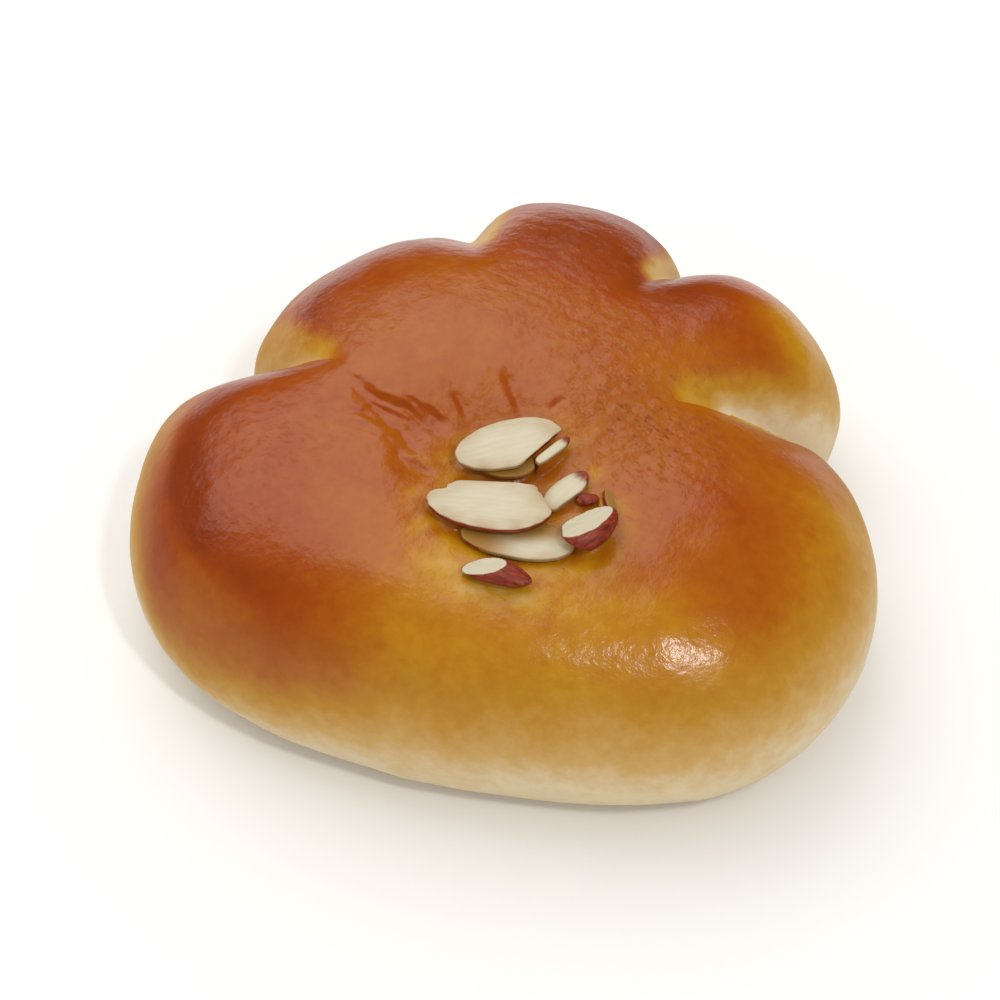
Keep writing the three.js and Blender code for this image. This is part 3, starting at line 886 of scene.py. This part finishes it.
def slice_outline(length, width, taper, breaks, nicks):
    bm = bmesh.new()
    bmesh.ops.create_circle(bm, cap_ends=True, segments=RIM_POINTS, radius=0.5)
    bmesh.ops.scale(bm, vec=(length, width, 1.0), verts=bm.verts[:])
    for vertex in bm.verts:
        vertex.co.y *= 1 - taper * 2 * vertex.co.x / length
        turn = bearing_on_slice(vertex.co, length, width)
        for bearing, spread, depth in nicks:
            off = (turn - bearing + 180) % 360 - 180
            vertex.co *= 1 - depth * math.exp(-((off / spread) ** 2))
    for bearing, distance in breaks:
        facing = Vector((math.cos(math.radians(bearing)), math.sin(math.radians(bearing)), 0.0))
        for vertex in bm.verts:
            vertex.co -= facing * max(0.0, vertex.co.dot(facing) - distance)
    for vertex in bm.verts:
        vertex.co *= 1 + RAGGEDNESS * noise.noise(vertex.co / RAGGED_SIZE)
    in_plan = {"use_axis_x": True, "use_axis_y": True, "use_axis_z": False}
    bmesh.ops.smooth_vert(bm, verts=bm.verts[:], factor=0.5, **in_plan)
    return bm


print("slices have", RIM_POINTS, "points round the rim")

# %% [markdown]
# The face is then pushed up to the thickness of the slice. Rings set into both faces round off the
# rim, keep the dark line of the skin narrow there, and let the slice warp a little. Each ring is the
# last one scaled down, because an inset of fixed width crosses itself in corners.

# %% Thickness of a slice
SLICE_THICKNESS, RIM_ROUNDING = 0.85, 0.2
ROUNDING_STEPS = ((0.3, 0.7), (0.7, 0.3))
FACE_RINGS = (0.96, 0.85, 0.7, 0.5)
FEW_CORNERS = 8


def thicken(bm, length, width):
    """Gives an outline its thickness and rounded rims, and returns the corners of the rims."""
    pushed = bmesh.ops.extrude_face_region(bm, geom=bm.faces[:])["geom"]
    top = [g for g in pushed if isinstance(g, bmesh.types.BMVert)]
    bmesh.ops.translate(bm, vec=(0, 0, SLICE_THICKNESS - 2 * RIM_ROUNDING), verts=top)
    bmesh.ops.recalc_face_normals(bm, faces=bm.faces[:])
    faces = [f for f in bm.faces if len(f.verts) > FEW_CORNERS]
    for inwards, upwards in ROUNDING_STEPS:
        bmesh.ops.inset_individual(bm, faces=faces, thickness=0.0)
        shrink = (1 - 2 * inwards * RIM_ROUNDING / length, 1 - 2 * inwards * RIM_ROUNDING / width, 1.0)
        for face in faces:
            bmesh.ops.scale(bm, vec=shrink, verts=face.verts[:])
            bmesh.ops.translate(bm, vec=face.normal * upwards * RIM_ROUNDING, verts=face.verts[:])
    rims = set(bm.verts)
    for share in FACE_RINGS:
        bmesh.ops.inset_individual(bm, faces=faces, thickness=0.0)
        bmesh.ops.scale(bm, vec=(share, share, 1.0), verts=[v for f in faces for v in f.verts])
    bmesh.ops.poke(bm, faces=faces)
    bmesh.ops.translate(bm, vec=(0, 0, RIM_ROUNDING), verts=bm.verts[:])
    return rims


print("slices are", SLICE_THICKNESS, "mm thick")

# %% [markdown]
# Skin is left along arcs of the rim, below its upper edge, and on dark ends. Amber tints the rest of
# the rim and, in blotches, the outer part of the faces. It also covers the shard and the egg-soaked
# left end of the low slice, and, as painted shade, the under slice and the half of the low slice that
# lies under the middle one. Bearings are in degrees on the slice, and the length of a piece's name
# serves as its seed.

# %% Slices
BELOW_UPPER_EDGE = SLICE_THICKNESS - 0.9 * RIM_ROUNDING
RIM_AMBER, FACE_AMBER, AMBER_RING, AMBER_PATCH = 0.75, 0.36, (0.4, 1.05), 2.2
WARP_SIZE, WARP_HEIGHT = 6.0, 0.16


def make_slice(name, taper, breaks=(), nicks=(), skin_arcs=(), dark_ends=(), amber_and_shade=()):
    length, width = ALMONDS[name]["size"]
    bm = slice_outline(length, width, taper, breaks, nicks)
    rims = thicken(bm, length, width)
    skins, ambers = [], []
    for vertex in bm.verts:
        along, across, height = vertex.co
        turn = bearing_on_slice(vertex.co, length, width)
        on_rim = vertex in rims and height < BELOW_UPPER_EDGE
        skin = [float(on_rim and any(first <= turn <= last for first, last in skin_arcs))]
        for end, reach in dark_ends:
            skin.append(float(smoothstep(end * along, length / 2 - reach, length / 2 - 0.5 * reach)))
        skins.append(max(skin))
        outwards = math.hypot(2 * along / length, 2 * across / width)
        blotch = 1 + noise.noise(vertex.co / AMBER_PATCH + Vector((0, 0, len(name))))
        amber = [RIM_AMBER * float(on_rim), FACE_AMBER * blotch * float(smoothstep(outwards, *AMBER_RING))]
        # Amber over the listed regions: egg on some pieces, painted shade where a piece lies under another.
        for bearing, starts, full in amber_and_shade:
            towards, _ = along_and_across(bearing, along, across)
            amber.append(float(smoothstep(towards, starts, full)))
        ambers.append(max(amber))
        vertex.co.z += WARP_HEIGHT * noise.noise(Vector((along, across, len(name))) / WARP_SIZE)
    finish_almond(name, bm, skins, ambers)


AMBER_ALL_OVER = ((0, -20, -6),)
MIDDLE_NICKS = (
    (150, 7, 0.14), (136, 3, 0.06), (118, 4, 0.06), (98, 4, 0.05), (62, 6, 0.08), (38, 5, 0.1), (14, 5, 0.07),
)
make_slice("almond_top", -0.05, breaks=((-60, 3.9),), skin_arcs=((284, 358),))
# The under slice is amber all over: painted shade under the top slice.
make_slice("almond_under", 0.0, amber_and_shade=AMBER_ALL_OVER)
make_slice("almond_sliver", 0.0, breaks=((92, 0.8), (-91, 0.8), (172, 3.3)), dark_ends=((1, 1.6),))
make_slice("almond_middle", -0.12, breaks=((94, 4.6), (28, 7.9)), nicks=MIDDLE_NICKS, skin_arcs=((195, 352),))
make_slice("almond_small", 0.1, breaks=((-95, 1.7),), skin_arcs=((20, 130),), dark_ends=((1, 2.0),))
make_slice("almond_shard", 0.0, skin_arcs=((0, 360),), amber_and_shade=AMBER_ALL_OVER)
# The low slice's left end is soaked with egg; its upper half is painted shade under the middle slice.
make_slice("almond_low", -0.1, skin_arcs=((185, 232),), amber_and_shade=((180, -2.0, 5.0), (98, -1.8, 1.4)))

# %% [markdown]
# An almond end is a rounded kernel broken across. It starts as a ball, stretched to the kernel and
# roughened, and planes shear it. Each cut is filled again, so that the piece is closed, and a ring
# set into the cut leaves the skin as a thin dark line round the flesh. The end is then set down on
# its lowest point.

# %% Ends with skin
KERNEL_COLUMNS, KERNEL_ROWS, CLOSEST_POINTS = 64, 32, 0.12
SKIN_EDGE, KERNEL_BUMP_SIZE, KERNEL_BUMP_HEIGHT = 0.94, 2.4, 0.16


def make_end(name, depth, cuts, taper=0.0, crumpled=0.0, bare=True):
    length, width = ALMONDS[name]["size"]
    bm = bmesh.new()
    bmesh.ops.create_uvsphere(bm, u_segments=KERNEL_COLUMNS, v_segments=KERNEL_ROWS, radius=0.5)
    bmesh.ops.scale(bm, vec=(length, width, depth), verts=bm.verts[:])
    bm.normal_update()
    for vertex in bm.verts:
        uneven = KERNEL_BUMP_HEIGHT * (1 + noise.noise(vertex.co / KERNEL_BUMP_SIZE)) / 2
        uneven += crumpled * (1 + noise.noise(2 * vertex.co / KERNEL_BUMP_SIZE)) / 2
        vertex.co -= vertex.normal * uneven
        narrowing = 1 - taper * (1 + 2 * vertex.co.x / length) / 2
        vertex.co.y *= narrowing
        vertex.co.z *= narrowing
    for bearing, climb, keep in cuts:
        level = math.cos(math.radians(climb))
        turn = math.radians(bearing)
        facing = Vector((level * math.cos(turn), level * math.sin(turn), math.sin(math.radians(climb))))
        geometry = bm.verts[:] + bm.edges[:] + bm.faces[:]
        bmesh.ops.bisect_plane(bm, geom=geometry, plane_co=facing * keep, plane_no=facing, clear_outer=True)
        bmesh.ops.holes_fill(bm, edges=[e for e in bm.edges if e.is_boundary], sides=0)
    bmesh.ops.remove_doubles(bm, verts=bm.verts[:], dist=CLOSEST_POINTS)
    bmesh.ops.recalc_face_normals(bm, faces=bm.faces[:])
    faces = [f for f in bm.faces if len(f.verts) > FEW_CORNERS]
    flesh = set()
    for share in (SKIN_EDGE, *FACE_RINGS):
        bmesh.ops.inset_individual(bm, faces=faces, thickness=0.0)
        for face in faces:
            middle = Matrix.Translation(-face.calc_center_median())
            bmesh.ops.scale(bm, vec=(share, share, share), space=middle, verts=face.verts[:])
            flesh.update(face.verts)
    flesh.update(bmesh.ops.poke(bm, faces=faces)["verts"])
    skins = [0.0 if bare and v in flesh else 1.0 for v in bm.verts]
    bmesh.ops.translate(bm, vec=(0, 0, -min(v.co.z for v in bm.verts)), verts=bm.verts[:])
    finish_almond(name, bm, skins, [0.0] * len(skins))


make_end("almond_wedge", 5.2, cuts=((84, 64, 0.8), (150, -18, 4.2), (181, -55, 2.0)), taper=0.3)
make_end("almond_chip", 1.9, cuts=((90, 78, 0.6),), crumpled=0.6, bare=False)
make_end("almond_front", 3.0, cuts=((140, 64, 0.6),), taper=0.2)
